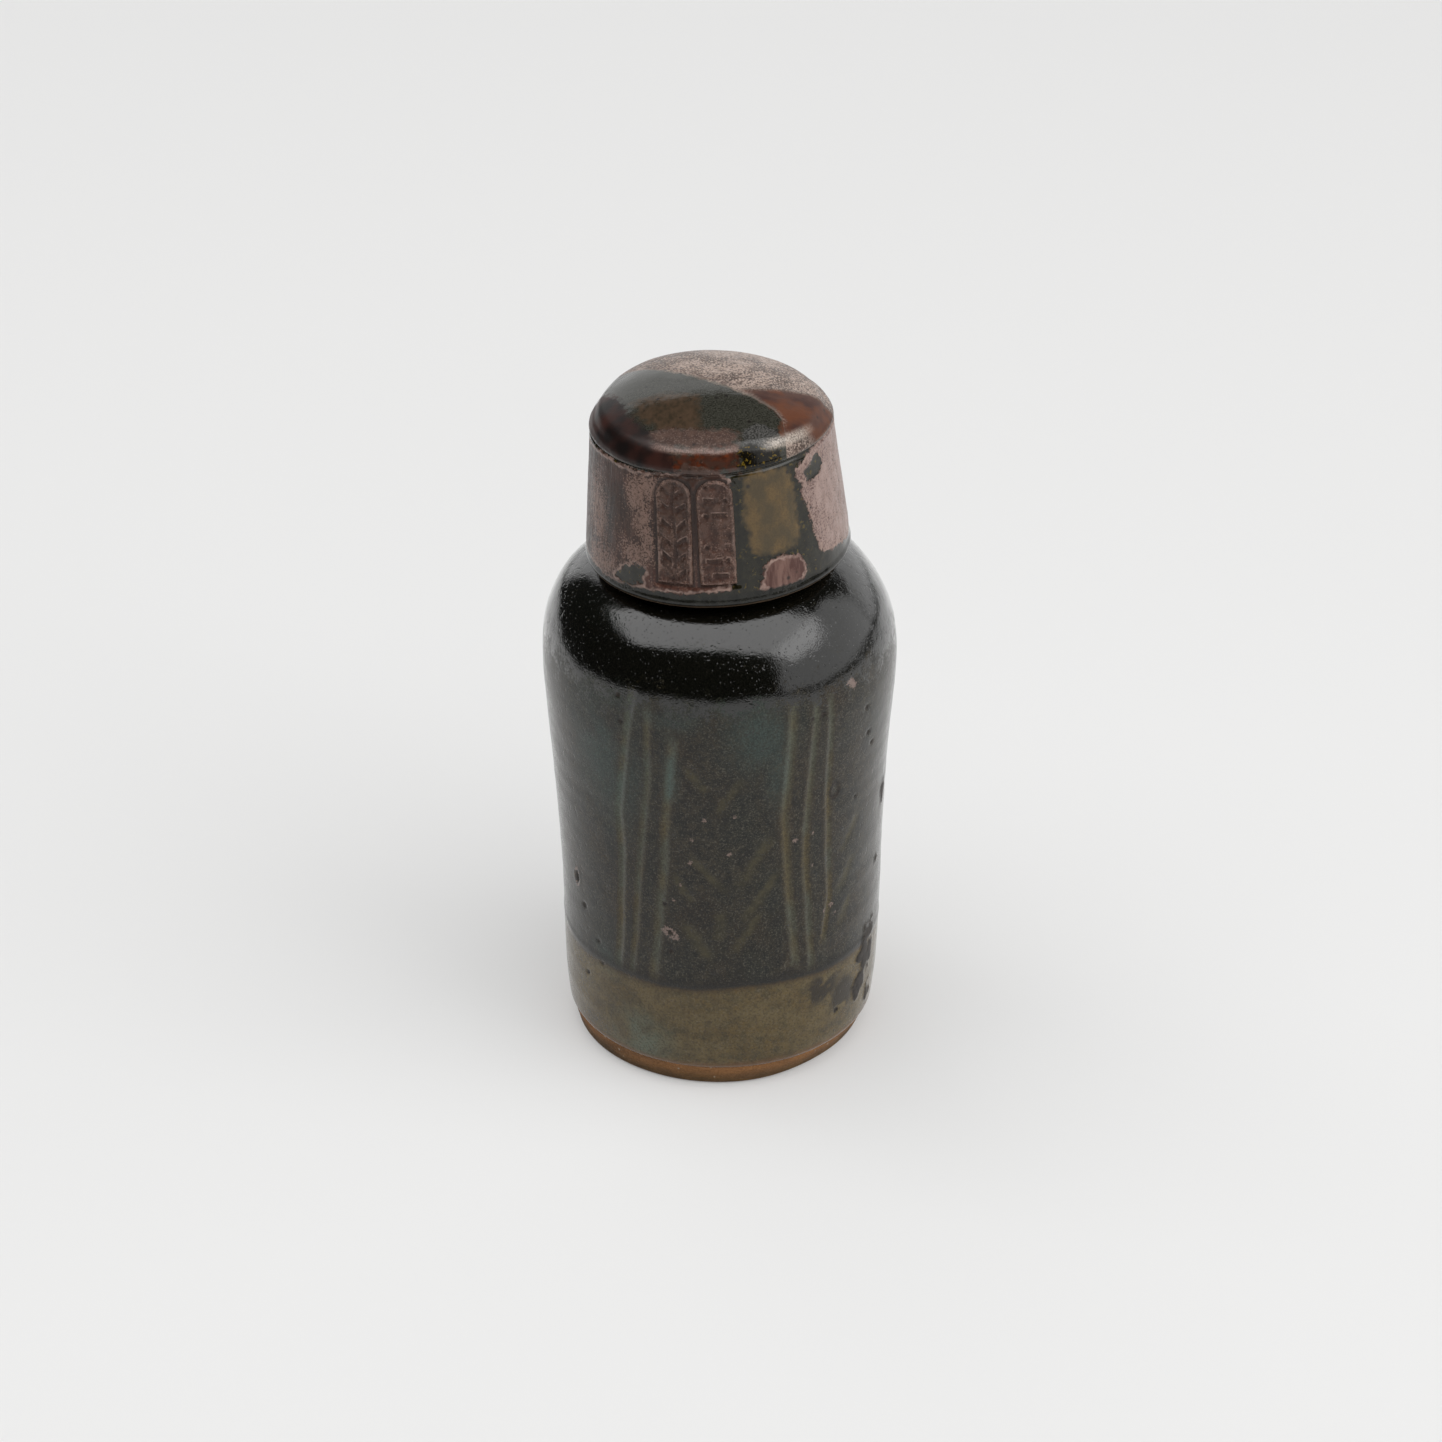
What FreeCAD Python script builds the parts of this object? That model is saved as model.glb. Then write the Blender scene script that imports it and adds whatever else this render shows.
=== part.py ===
"""Glazed stoneware sake bottle with a domed cap that covers its neck.

The bottle is a thrown clay body with a turned foot ring, a dark slip coat with incised lines, an ash glaze
outside and a liner glaze inside. The neck leans, as the shoulder gave way a little in the kiln, and the cap
sits squarely on the neck, so it leans the same way. Frame: millimetres, +Z up, origin at the centre of the
foot ring's resting face, front along -Y.
"""

import FreeCAD
import Part

import math
import os

Vector = FreeCAD.Vector

# Driving dimensions, in millimetres and degrees.
BELLY_R = 44.0  # widest glazed radius, just below the shoulder
FOOT_R = 37.7  # radius of the foot under a skin of glaze, at the top of its bevel
FOOT_BEVEL = 0.7  # bevel on the foot's outer edge
FOOT_LINE_Z = 6.0  # the glaze stops here and bare clay shows below
SLIP_LINE_Z = 31.0  # the dark slip starts here
GLAZE = 0.5  # thickness of the outer glaze
SLIP = 0.3  # thickness of the slip coat
LINER = 0.4  # thickness of the glaze inside bottle and cap

WALL = 5.2  # bottle wall from outer glaze to clay inside
FLOOR_Z = 7.6  # top of the clay floor inside
FOOT_RING_R = 30.5  # inside radius of the foot ring
FOOT_RECESS = 2.6  # depth of the hollow inside the foot ring

LEAN = 2.8  # the neck's lean towards -X
CAP_SEAT = Vector(-0.3, 0.0, 135.4)  # centre of the cap's rim plane, on the neck's axis
NECK_R = 22.0  # outer glazed radius at the lip
NECK_ROOT_R = 23.4  # outer glazed radius at the shoulder
BORE_R = 17.5  # radius of the mouth, on the liner glaze
LIP_H = 40.0  # the lip's height above the cap's rim plane
LIP_ROUND = 1.8  # rounding of the lip's outer edge
MOUTH_FLARE = 1.0  # the mouth opens by this much at the lip
NECK_SLIP_H = 30.0  # the slip coat ends here on the neck

CAP_RIM_R = 32.3  # outer radius of the cap's rim
CAP_WALL_TOP_R = 29.2  # outer radius where the dome starts
CAP_WALL_H = 34.6  # height of the wall above the rim
CAP_H = 45.4  # height of the cap
DOME_POWER = 2.3  # the dome is a superellipse of this exponent
GROOVE = 0.6  # depth and half width of the groove under the dome
CAP_IN_RIM_R = 28.4  # inner radius at the rim
CAP_IN_TOP_R = 24.6  # inner radius at the ceiling
CEILING_ROUND = 4.0  # rounding between wall and ceiling inside
LIP_GAP = 0.2  # clearance between lip and ceiling
BARE_RIM_H = 0.8  # the cap's glaze stops this far above its rim

PANEL_W = 9.2  # the two arched panels pressed on the cap
PANEL_H = 27.2
PANEL_FOOT_H = 6.0  # height of the panels' lower edge above the rim
PANEL_PROUD = 0.35  # how far a panel stands out of the glaze
PANEL_AZIMUTHS = {"cap_panel_left": -18.4, "cap_panel_right": 0.9}

LINE_W = 1.6  # width of an incised line
LINE_GROOVE = 0.25  # depth of the groove that the line leaves in the glaze's face
# The incised lines, each as azimuth from the front at mid height, tilt, height of its foot and of its top.
INCISED_LINES = (
    (-35.5, 5.6, 33.5, 115.0),
    (-27.8, 5.6, 34.0, 110.0),
    (-19.0, 6.4, 34.0, 103.0),
    (23.5, -1.6, 38.0, 112.0),
    (31.5, -0.6, 35.0, 111.0),
    (39.3, -1.0, 42.0, 111.0),
)

# Outer glazed profile of the bottle as (radius, height), from the foot's bevel to inside the neck's root.
BODY_PROFILE = (
    (FOOT_R, FOOT_BEVEL),
    (38.9, 6.0),
    (39.8, 13.0),
    (40.3, 25.0),
    (40.7, 44.0),
    (41.4, 63.0),
    (42.5, 82.0),
    (43.6, 97.0),
    (BELLY_R, 107.0),
    (43.1, 116.0),
    (40.7, 122.3),
    (37.3, 127.3),
    (32.0, 131.6),
    (26.0, 134.2),
    (20.0, 135.6),
)

AXIS = Vector(0, 0, 1)
ORIGIN = Vector(0, 0, 0)
LEAN_PLACEMENT = FreeCAD.Placement(CAP_SEAT, FreeCAD.Rotation(Vector(0, 1, 0), -LEAN))
FAR = 200.0  # larger than the object, for cutting blocks


def at(r, z):
    """A point of a profile in the XZ half plane."""
    return Vector(r, 0, z)


def curve(points):
    """One smooth edge through the points."""
    spline = Part.BSplineCurve()
    spline.interpolate([at(r, z) for r, z in points])
    return spline.toShape()


def line(a, b):
    return Part.makeLine(at(*a), at(*b))


def arc(a, middle, b):
    return Part.Arc(at(*a), at(*middle), at(*b)).toShape()


def turned(edges):
    """The solid that the closed profile sweeps out round +Z."""
    face = Part.Face(Part.Wire(Part.__sortEdges__(edges)))
    solid = face.revolve(ORIGIN, AXIS, 360)
    return solid if solid.Volume > 0 else solid.reversed()


def in_lean(shape):
    """Moves a shape from the cap's own frame into the part's frame."""
    shape.Placement = LEAN_PLACEMENT
    return shape


def block_above(z):
    return Part.makeBox(2 * FAR, 2 * FAR, FAR, Vector(-FAR, -FAR, z))


def block_below(z):
    return Part.makeBox(2 * FAR, 2 * FAR, FAR, Vector(-FAR, -FAR, z - FAR))


def moved_inwards(points, depth):
    """The profile's points, each moved into the wall along the profile's normal."""
    if depth == 0:
        return list(points)
    spline = Part.BSplineCurve()
    spline.interpolate([at(r, z) for r, z in points])
    moved = []
    for r, z in points:
        along = spline.tangent(spline.parameter(at(r, z)))[0]
        moved.append((r - depth * along.z, z + depth * along.x))
    return moved


def body_envelope(depth):
    """The bottle's body below the neck, as a full solid, with its skin moved in by depth."""
    points = moved_inwards(BODY_PROFILE, depth)
    foot_r = points[0][0]
    points[0] = (foot_r, FOOT_BEVEL)
    top_r, top_z = points[-1]
    ground_r = foot_r - FOOT_BEVEL
    edges = [line((0, 0), (ground_r, 0)), line((ground_r, 0), points[0]), curve(points)]
    edges += [line((top_r, top_z), (0, top_z)), line((0, top_z), (0, 0))]
    return turned(edges)


def neck_envelope(depth):
    """The neck as a full solid in the cap's frame, with its skin moved in by depth."""
    root_h = -6.0
    root_r, lip_r = NECK_ROOT_R - depth, NECK_R - depth
    top, rounding = LIP_H - depth, LIP_ROUND - depth
    mid = rounding * (1 - math.sqrt(0.5))
    edges = [line((0, root_h), (root_r, root_h)), line((root_r, root_h), (lip_r, top - rounding))]
    edges += [arc((lip_r, top - rounding), (lip_r - mid, top - mid), (lip_r - rounding, top))]
    edges += [line((lip_r - rounding, top), (0, top)), line((0, top), (0, root_h))]
    return in_lean(turned(edges))


def bottle_envelope(depth):
    return body_envelope(depth).fuse(neck_envelope(depth)).removeSplitter()


def bottle_hollow(growth):
    """The bottle's inside as a solid, out to the liner's face plus growth."""
    inset = WALL + LINER - growth
    skin = [p for p in moved_inwards(BODY_PROFILE, inset) if 16.0 < p[1] < 131.0 and p[0] > BORE_R + 4]
    floor_z = FLOOR_Z + LINER - growth
    corner = 9.0
    wall_r = skin[0][0]
    edges = [line((0, floor_z), (wall_r - corner, floor_z))]
    mid = corner * (1 - math.sqrt(0.5))
    bend = ((wall_r - corner, floor_z), (wall_r - mid, floor_z + mid), (wall_r, floor_z + corner))
    edges += [arc(*bend), line(bend[2], skin[0]), curve(skin)]
    top_r, top_z = skin[-1]
    edges += [line((top_r, top_z), (0, top_z)), line((0, top_z), (0, floor_z))]
    bore_r = BORE_R + growth
    over = LIP_H + 5.0
    flare = ((bore_r, LIP_H - 2.0), (bore_r + 0.3 * MOUTH_FLARE, LIP_H - 0.8), (bore_r + MOUTH_FLARE, LIP_H))
    bore = [line((0, -14.0), (bore_r, -14.0)), line((bore_r, -14.0), flare[0]), arc(*flare)]
    bore += [line(flare[2], (flare[2][0], over)), line((flare[2][0], over), (0, over)), line((0, over), (0, -14.0))]
    return turned(edges).fuse(in_lean(turned(bore))).removeSplitter()


def foot_hollow():
    """The shallow recess that leaves the foot ring standing."""
    return Part.makeCone(FOOT_RING_R, FOOT_RING_R - 1.2, FOOT_RECESS)


def incised_line(azimuth, tilt, foot_z, top_z):
    """A thin upright block from the axis outwards that marks where one line is cut."""
    height = top_z - foot_z
    middle = Vector(0, 0, foot_z + height / 2)
    block = Part.makeBox(LINE_W, FAR, height, Vector(-LINE_W / 2, -FAR, foot_z))
    block.rotate(middle, Vector(0, 1, 0), tilt)
    block.rotate(ORIGIN, AXIS, azimuth)
    return block


def make_bottle():
    """The bottle's clay, slip, outer glaze and liner."""
    lines = [incised_line(*values) for values in INCISED_LINES]
    slip_face = bottle_envelope(GLAZE)
    hollow = bottle_hollow(0)
    clay_hollow = bottle_hollow(LINER)
    above_neck_slip = in_lean(block_above(NECK_SLIP_H))
    coat = slip_face.cut([bottle_envelope(GLAZE + SLIP), block_below(SLIP_LINE_Z), above_neck_slip])
    core = slip_face.cut(coat)
    slip = coat.cut(lines)
    clay = core.cut([clay_hollow, foot_hollow()])
    glaze = bottle_envelope(0).cut([core, slip, hollow, block_below(FOOT_LINE_Z)])
    groove_floor = body_envelope(LINE_GROOVE)
    skin = body_envelope(0).cut(groove_floor)
    glaze = glaze.cut([skin.common(block) for block in lines])
    liner = clay_hollow.cut([hollow, in_lean(block_above(LIP_H - GLAZE))])
    return {"bottle_clay": clay, "bottle_slip": slip, "bottle_glaze": glaze, "bottle_liner": liner}


def dome_points(radius, foot, top):
    """Points of the superellipse dome from its foot to the axis."""
    steps = 9
    points = []
    for i in range(steps + 1):
        angle = math.pi / 2 * i / steps
        r = radius * math.cos(angle) ** (2 / DOME_POWER)
        points.append((max(r, 0.0), foot + (top - foot) * math.sin(angle) ** (2 / DOME_POWER)))
    points[-1] = (0.0, top)
    return points


def cap_envelope(depth):
    """The cap's outer form as a full solid in the cap's frame, with its skin moved in by depth."""
    rim_r, top_r = CAP_RIM_R - depth, CAP_WALL_TOP_R - depth
    below = (top_r + 0.05, CAP_WALL_H - 2 * GROOVE)
    bottom = (top_r - GROOVE, CAP_WALL_H - GROOVE)
    dome = dome_points(top_r + 0.2, CAP_WALL_H, CAP_H - depth)
    edges = [line((0, 0), (rim_r, 0)), line((rim_r, 0), below), line(below, bottom), line(bottom, dome[0])]
    edges += [curve(dome), line(dome[-1], (0, 0))]
    return turned(edges)


def cap_hollow(growth):
    """The cap's inside as a solid in the cap's frame, out to the liner's face plus growth."""
    ceiling = LIP_H + LIP_GAP + growth
    rim_r, top_r = CAP_IN_RIM_R + growth, CAP_IN_TOP_R + growth
    mid = CEILING_ROUND * (1 - math.sqrt(0.5))
    bend = ((top_r, ceiling - CEILING_ROUND), (top_r - mid, ceiling - mid), (top_r - CEILING_ROUND, ceiling))
    edges = [line((0, -1), (rim_r, -1)), line((rim_r, -1), bend[0]), arc(*bend)]
    edges += [line(bend[2], (0, ceiling)), line((0, ceiling), (0, -1))]
    return turned(edges)


def panel_prism(azimuth):
    """An upright arch driven into the cap's wall from the front, then turned to its azimuth."""
    half = PANEL_W / 2
    foot, spring = PANEL_FOOT_H, PANEL_FOOT_H + PANEL_H - PANEL_W / 2
    reach = CAP_RIM_R + 5
    corners = [Vector(-half, -reach, foot), Vector(half, -reach, foot), Vector(half, -reach, spring)]
    left = Vector(-half, -reach, spring)
    edges = [Part.makeLine(corners[0], corners[1]), Part.makeLine(corners[1], corners[2])]
    edges += [Part.Arc(corners[2], Vector(0, -reach, spring + half), left).toShape()]
    edges += [Part.makeLine(left, corners[0])]
    prism = Part.Face(Part.Wire(edges)).extrude(Vector(0, reach - CAP_IN_TOP_R / 2, 0))
    prism.rotate(ORIGIN, AXIS, azimuth)
    return prism


def make_cap():
    """The cap's clay, outer glaze, liner and its two pressed panels, all in the part's frame."""
    clay_face = cap_envelope(GLAZE)
    clay_hollow = cap_hollow(LINER)
    bare_rim = block_below(BARE_RIM_H)
    panel_face = cap_envelope(-PANEL_PROUD)
    parts = {}
    for name, azimuth in PANEL_AZIMUTHS.items():
        parts[name] = panel_face.cut(clay_face).common(panel_prism(azimuth))
    parts["cap_clay"] = clay_face.cut(clay_hollow)
    glaze = cap_envelope(0).cut([clay_face, bare_rim])
    parts["cap_glaze"] = glaze.cut([panel_prism(azimuth) for azimuth in PANEL_AZIMUTHS.values()])
    parts["cap_liner"] = clay_hollow.cut([cap_hollow(0), bare_rim])
    return {name: in_lean(shape) for name, shape in parts.items()}


def export(parts):
    os.makedirs("parts", exist_ok=True)
    for name, shape in parts.items():
        solids = shape.Solids
        whole = solids[0] if len(solids) == 1 else Part.makeCompound(solids)
        whole.exportStep("parts/" + name + ".step")
        box = whole.BoundBox
        print(f"{name:16s} solids {len(solids)} valid {whole.isValid()} volume {whole.Volume:10.1f}"
              f" z {box.ZMin:7.2f} to {box.ZMax:7.2f} x {box.XMin:7.2f} to {box.XMax:7.2f}")


def main():
    parts = make_bottle()
    parts.update(make_cap())
    export(parts)


main()
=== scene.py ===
"""Glazed stoneware sake bottle with its domed cap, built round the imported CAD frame.

Lengths are worked out in millimetres and scaled to metres when a mesh is made. Azimuth 0 is the front (-Y)
and grows towards +X. "h" is a height above the cap's rim, along the neck's leaning axis.
"""

import math

import bpy
import numpy as np
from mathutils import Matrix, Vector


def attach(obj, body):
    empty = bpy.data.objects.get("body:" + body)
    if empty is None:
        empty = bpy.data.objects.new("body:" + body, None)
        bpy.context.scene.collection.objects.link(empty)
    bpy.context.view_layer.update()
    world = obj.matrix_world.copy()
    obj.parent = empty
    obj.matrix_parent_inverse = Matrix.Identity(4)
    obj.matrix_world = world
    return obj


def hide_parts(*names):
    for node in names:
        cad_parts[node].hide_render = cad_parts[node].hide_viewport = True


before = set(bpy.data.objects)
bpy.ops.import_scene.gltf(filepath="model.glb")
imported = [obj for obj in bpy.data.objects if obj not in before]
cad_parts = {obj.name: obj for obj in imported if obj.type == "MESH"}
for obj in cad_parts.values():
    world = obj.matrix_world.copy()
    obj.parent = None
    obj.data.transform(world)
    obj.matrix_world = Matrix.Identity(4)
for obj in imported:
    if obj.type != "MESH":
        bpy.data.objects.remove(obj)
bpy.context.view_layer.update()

MM = 0.001
PI = math.pi


# ---------------- noise and small helpers

def step(low, high, x):
    """0 below low, 1 above high, smooth between; low may be above high."""
    t = np.clip((x - low) / (high - low), 0, 1)
    return t * t * (3 - 2 * t)


def hashed(cells, seed):
    """A fixed number from -1 to 1 for each whole-numbered cell."""
    n = cells[..., 0] * 73856093 ^ cells[..., 1] * 19349663 ^ cells[..., 2] * 83492791 ^ seed * 40503
    n = (n ^ (n >> 13)) * 1274126177 & 0x7FFFFFFF
    n = (n ^ (n >> 15)) * 668265263 & 0x7FFFFFFF
    return ((n ^ (n >> 14)) & 0xFFFF) / 32767.5 - 1


def noise(points, size, seed=0):
    """Smooth noise from -1 to 1 whose features are about size across."""
    p = np.asarray(points, float) / size
    cell = np.floor(p).astype(np.int64)
    f = p - cell
    f = f * f * (3 - 2 * f)
    total = 0
    for corner in np.ndindex(2, 2, 2):
        weight = np.prod(np.where(np.array(corner), f, 1 - f), axis=-1)
        total = total + weight * hashed(cell + np.array(corner), seed)
    return total


def fractal(points, size, seed=0, octaves=3):
    total, gain = 0, 1
    for octave in range(octaves):
        total = total + gain * noise(points, size / 2**octave, seed + 17 * octave)
        gain *= 0.5
    return total / 1.6


def smooth_curve(points, count_per_mm):
    """Points along a smooth curve through the given (r, z) points, about evenly spaced."""
    points = np.array(points, float)
    t = np.r_[0, np.cumsum(np.hypot(*np.diff(points, axis=0).T))]
    n = len(t)
    gaps = np.diff(t)
    system = np.zeros((n, n))
    right = np.zeros((n, 2))
    system[0, 0] = system[-1, -1] = 1
    for i in range(1, n - 1):
        system[i, i - 1:i + 2] = gaps[i - 1], 2 * (gaps[i - 1] + gaps[i]), gaps[i]
        right[i] = 6 * ((points[i + 1] - points[i]) / gaps[i] - (points[i] - points[i - 1]) / gaps[i - 1])
    bend = np.linalg.solve(system, right)
    s = np.linspace(0, t[-1], max(2, int(t[-1] * count_per_mm) + 1))
    i = np.clip(np.searchsorted(t, s, side="right") - 1, 0, n - 2)
    a = ((t[i + 1] - s) / gaps[i])[:, None]
    b = 1 - a
    g = gaps[i][:, None]
    curve = a * points[i] + b * points[i + 1]
    return curve + ((a**3 - a) * bend[i] + (b**3 - b) * bend[i + 1]) * g * g / 6


# ---------------- the forms, in millimetres

GLAZE = 0.5
SLIP = 0.3
LEAN = math.radians(2.8)
SEAT = np.array([-0.3, 0, 135.4])  # centre of the cap's rim plane

BODY_PROFILE = (
    (37.7, 0.7), (38.9, 6), (39.8, 13), (40.3, 25), (40.7, 44), (41.4, 63), (42.5, 82),
    (43.6, 97), (44, 107), (43.1, 116), (40.7, 122.3), (37.3, 127.3), (32, 131.6), (28, 133.5),
    (25.2, 135.4), (23.7, 138.4),
)
NECK_LIP_R, LIP_H, BORE_R = 22, 40, 17.5

CAP_RIM_R, CAP_TOP_R, CAP_WALL_H, CAP_H, DOME_POWER = 32.3, 29.2, 34.6, 45.4, 2.3
CAP_IN_RIM_R, CAP_IN_TOP_R, CEILING_H = 28.4, 24.6, 40.2
RIM_GLAZE_H = 0.8


def azimuths(count, crowding=20):
    """Columns round the axis in degrees, closer together at the front."""
    u = np.arange(count) / count - 0.5
    return 360 * u - crowding * np.sin(2 * PI * u)


def leaning(x, y, h):
    """From the neck's own axes to the object's."""
    c, s = math.cos(LEAN), math.sin(LEAN)
    return SEAT[0] + x * c - h * s, SEAT[1] + y, SEAT[2] + x * s + h * c


def body_place(az, r, z):
    """A point of the bottle: round a slightly wavering centre line, and leaning where the neck starts."""
    a = np.radians(az)
    x, y = r * np.sin(a), -r * np.cos(a)
    waver = np.interp(z, (0, 42, 84, 108, 126), (0.2, 0.55, 0, 0, -0.3))
    lean = step(124, 139, z)
    upright = np.stack([x + waver, y, z], -1)
    return upright + (np.stack(leaning(x, y, z - SEAT[2]), -1) - upright) * lean[..., None]


def cap_place(az, r, h):
    a = np.radians(az)
    return np.stack(leaning(r * np.sin(a), -r * np.cos(a), h), -1)


def grid(name, place, az, profile, relief=None, masks=None, close=()):
    """A turned skin as one mesh: columns az, rows along profile, pushed along its normal by relief.

    relief(az, r, z, points) gives millimetres outwards; masks(az, r, z, points) gives the attributes by name.
    close names the ends, "first" and "last", that shut to one point on the axis.
    """
    profile = np.asarray(profile, float)
    along = np.gradient(profile, axis=0)
    along /= np.maximum(np.linalg.norm(along, axis=1, keepdims=True), 1e-9)
    A, R = np.meshgrid(az, profile[:, 0])
    Z = np.broadcast_to(profile[:, 1:2], A.shape)
    points = place(A, R, Z)
    if relief is not None:
        push = relief(A, R, Z, points)
        points = place(A, R + push * along[:, 1:2], Z - push * along[:, 0:1])
        points[..., 2] = np.maximum(points[..., 2], 0)
    rows, columns = A.shape
    index = np.arange(rows * columns).reshape(rows, columns)
    turned = np.roll(index, -1, axis=1)
    faces = np.stack([index[:-1], turned[:-1], turned[1:], index[1:]], -1).reshape(-1, 4).tolist()
    vertices = points.reshape(-1, 3)
    ends = [row for end, row in (("first", 0), ("last", -1)) if end in close]
    for row in ends:
        apex = len(vertices)
        vertices = np.vstack([vertices, points[row].mean(0)])
        fan = [[a, b, apex] for a, b in zip(index[row].tolist(), turned[row].tolist())]
        faces += fan if row else [face[::-1] for face in fan]
    attributes = {}
    if masks is not None:
        for key, values in masks(A, R, Z, points).items():
            values = np.broadcast_to(values, A.shape)
            attributes[key] = np.r_[values.reshape(-1), [values[end].mean() for end in ends]]
    return make_piece(name, vertices, faces, attributes)


def make_piece(name, vertices, faces, attributes):
    """A smooth-shaded mesh object from points in millimetres, with one value per vertex in each attribute."""
    mesh = bpy.data.meshes.new(name)
    mesh.from_pydata((vertices * MM).tolist(), [], faces)
    mesh.shade_smooth()
    for key, values in attributes.items():
        layer = mesh.attributes.new(key, "FLOAT", "POINT")
        layer.data.foreach_set("value", np.asarray(values, np.float32).reshape(-1))
    piece = bpy.data.objects.new(name, mesh)
    bpy.context.scene.collection.objects.link(piece)
    return piece


# ---------------- bottle

# Each incised line: azimuth and height of points along it, then its width.
LINES = (
    (((-28.7, 115), (-36, 80), (-35.5, 67), (-39.5, 34)), 1.8),
    (((-23.5, 110), (-23.6, 94), (-28.5, 66), (-33.5, 34)), 1.3),
    (((-14.5, 103), (-18.7, 78), (-19.2, 68), (-24.7, 34)), 1.8),
    (((24, 112), (21.8, 80), (24.7, 53), (26.8, 38)), 1.8),
    (((32.3, 111), (30.2, 76), (30.7, 62), (33.5, 35)), 1.5),
    (((37.8, 111), (38.4, 84), (41, 53), (38.8, 42)), 1.3),
)
# Brushed strokes: start and end as (mm round the wall from the front, height), then half width.
STROKES = (
    ((13.5, 77), (3.5, 60.5), 1.5), ((-8, 71), (2, 60), 1.2), ((0.3, 55), (-1, 45.5), 1.6),
    ((-9.5, 51), (-2.5, 39.5), 1.7), ((-12, 66), (-7, 56.5), 1.2), ((15, 66), (5, 51), 1.4),
    ((10, 54), (3, 42), 1.3), ((-3, 90), (-9, 98), 1.2), ((-1, 84), (6, 95), 1.3),
    ((38, 62), (32, 52), 1.6), ((40, 74), (33, 64), 1.4), ((37, 50), (32.5, 42), 1.4),
)
# Patches as (azimuth, height, half width, half height).
TEAL = ((-18, 112, 8, 4), (-16, 93, 2, 13), (13, 106, 8, 9), (19, 94, 3, 9), (-46, 33, 4, 4),
        (-31, 12, 7.5, 7.5), (8, 115, 7, 3), (-40, 96, 10, 20))
SMUDGES = ((39, 25.5, 5.5, 4.6), (50, 20, 4.5, 5.5))
FLAKES = ((66, 29, 7, 9), (60, 19, 4, 5), (76, 72, 2.2, 6), (72, 50, 2, 5), (70, 13, 3, 5))
# Pits as (azimuth, height, radius).
PALE_PITS = ((-9.5, 76, 0.55), (-10.2, 69, 0.6), (-5, 82, 0.55), (5, 83, 0.4), (3, 72, 0.6), (26, 73.5, 0.6),
             (33, 74, 0.4), (33, 64.5, 0.4), (-14, 62, 0.4), (42, 50, 0.6), (44, 47, 0.5), (39, 49, 0.5),
             (-16.5, 57, 0.5))
DARK_PITS = ((-33, 107, 0.8), (-34, 114, 0.7), (-20, 55.5, 0.7), (-18, 41.5, 0.7), (-50, 36, 0.7),
             (31, 108, 0.6), (35, 108.5, 0.8), (36, 112, 0.5), (-48, 30, 0.6), (-58, 44, 1),
             (47, 16, 0.9), (-57, 24, 0.7), (57, 96, 0.8), (60, 92, 0.7), (55, 104, 0.8), (52, 79, 0.6))
# Single marks as (azimuth, height).
CHIP, SCAR, RING_PIT, GRAZE = (-62.3, 51), (-18, 47), (41.5, 84.5), (47, 113)


def around(az, r, centre):
    """Millimetres round the wall from an azimuth, the short way."""
    return np.radians((az - centre + 180) % 360 - 180) * r


def ellipse(az, z, r, centre_az, centre_z, half_width, half_height):
    """0 at the middle of an ellipse on the skin, 1 on its outline and more beyond."""
    return np.hypot(around(az, r, centre_az) / half_width, (z - centre_z) / half_height)


def spot(az, z, r, *row, edge=0.35):
    """1 inside an ellipse, fading over its edge."""
    return step(1 + edge, 1 - edge, ellipse(az, z, r, *row))


def spots(az, z, r, table, edge=0.35):
    return np.maximum.reduce([spot(az, z, r, *row, edge=edge) for row in table])


def line_distance(az, r, z, points):
    """Signed distance in mm, positive inside, from the edges of the incised lines."""
    best = np.full(az.shape, -9.0)
    for route, width in LINES:
        heights = [p[1] for p in route][::-1]
        centre = np.interp(z, heights, [p[0] for p in route][::-1])
        across = np.abs(np.radians(az - centre) * r + 0.3 * noise(points, 11, 5))
        ends = np.minimum(z - heights[0] + 1.5, heights[-1] + 1 - z)
        best = np.maximum(best, np.minimum(0.5 * width - across, 0.35 * ends))
    return best


def incised(az, r, z, points):
    """How deep in an incised line each point is, from 0 to 1."""
    return step(-0.15, 0.6, line_distance(az, r, z, points))


def nearest(x, y, start, end):
    """How far along the way from start to end the nearest point is, from 0 to 1, and its distance."""
    (ax, ay), (bx, by) = start, end
    ex, ey = bx - ax, by - ay
    t = np.clip(((x - ax) * ex + (y - ay) * ey) / (ex * ex + ey * ey + 1e-9), 0, 1)
    return t, np.hypot(x - ax - t * ex, y - ay - t * ey)


def chevrons(az, r, z):
    """Brushed strokes under the glaze between the two groups of lines, 1 in their middle."""
    x = np.radians(az) * r
    total = np.zeros_like(az)
    for start, end, width in STROKES:
        t, off = nearest(x, z, start, end)
        inked = step(1.3, 0.1, off / (1.15 * width)) * step(-0.05, 0.2, t) * step(1.05, 0.75, t)
        total = np.maximum(total, inked)
    return total


def slip_edge(az):
    """The height of the dark slip's lower edge."""
    a = np.radians(az)
    return 30.2 + 0.9 * np.cos(a - 0.1) + 0.5 * np.sin(3 * a + 0.6) + 0.35 * np.sin(7 * a)


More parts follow.
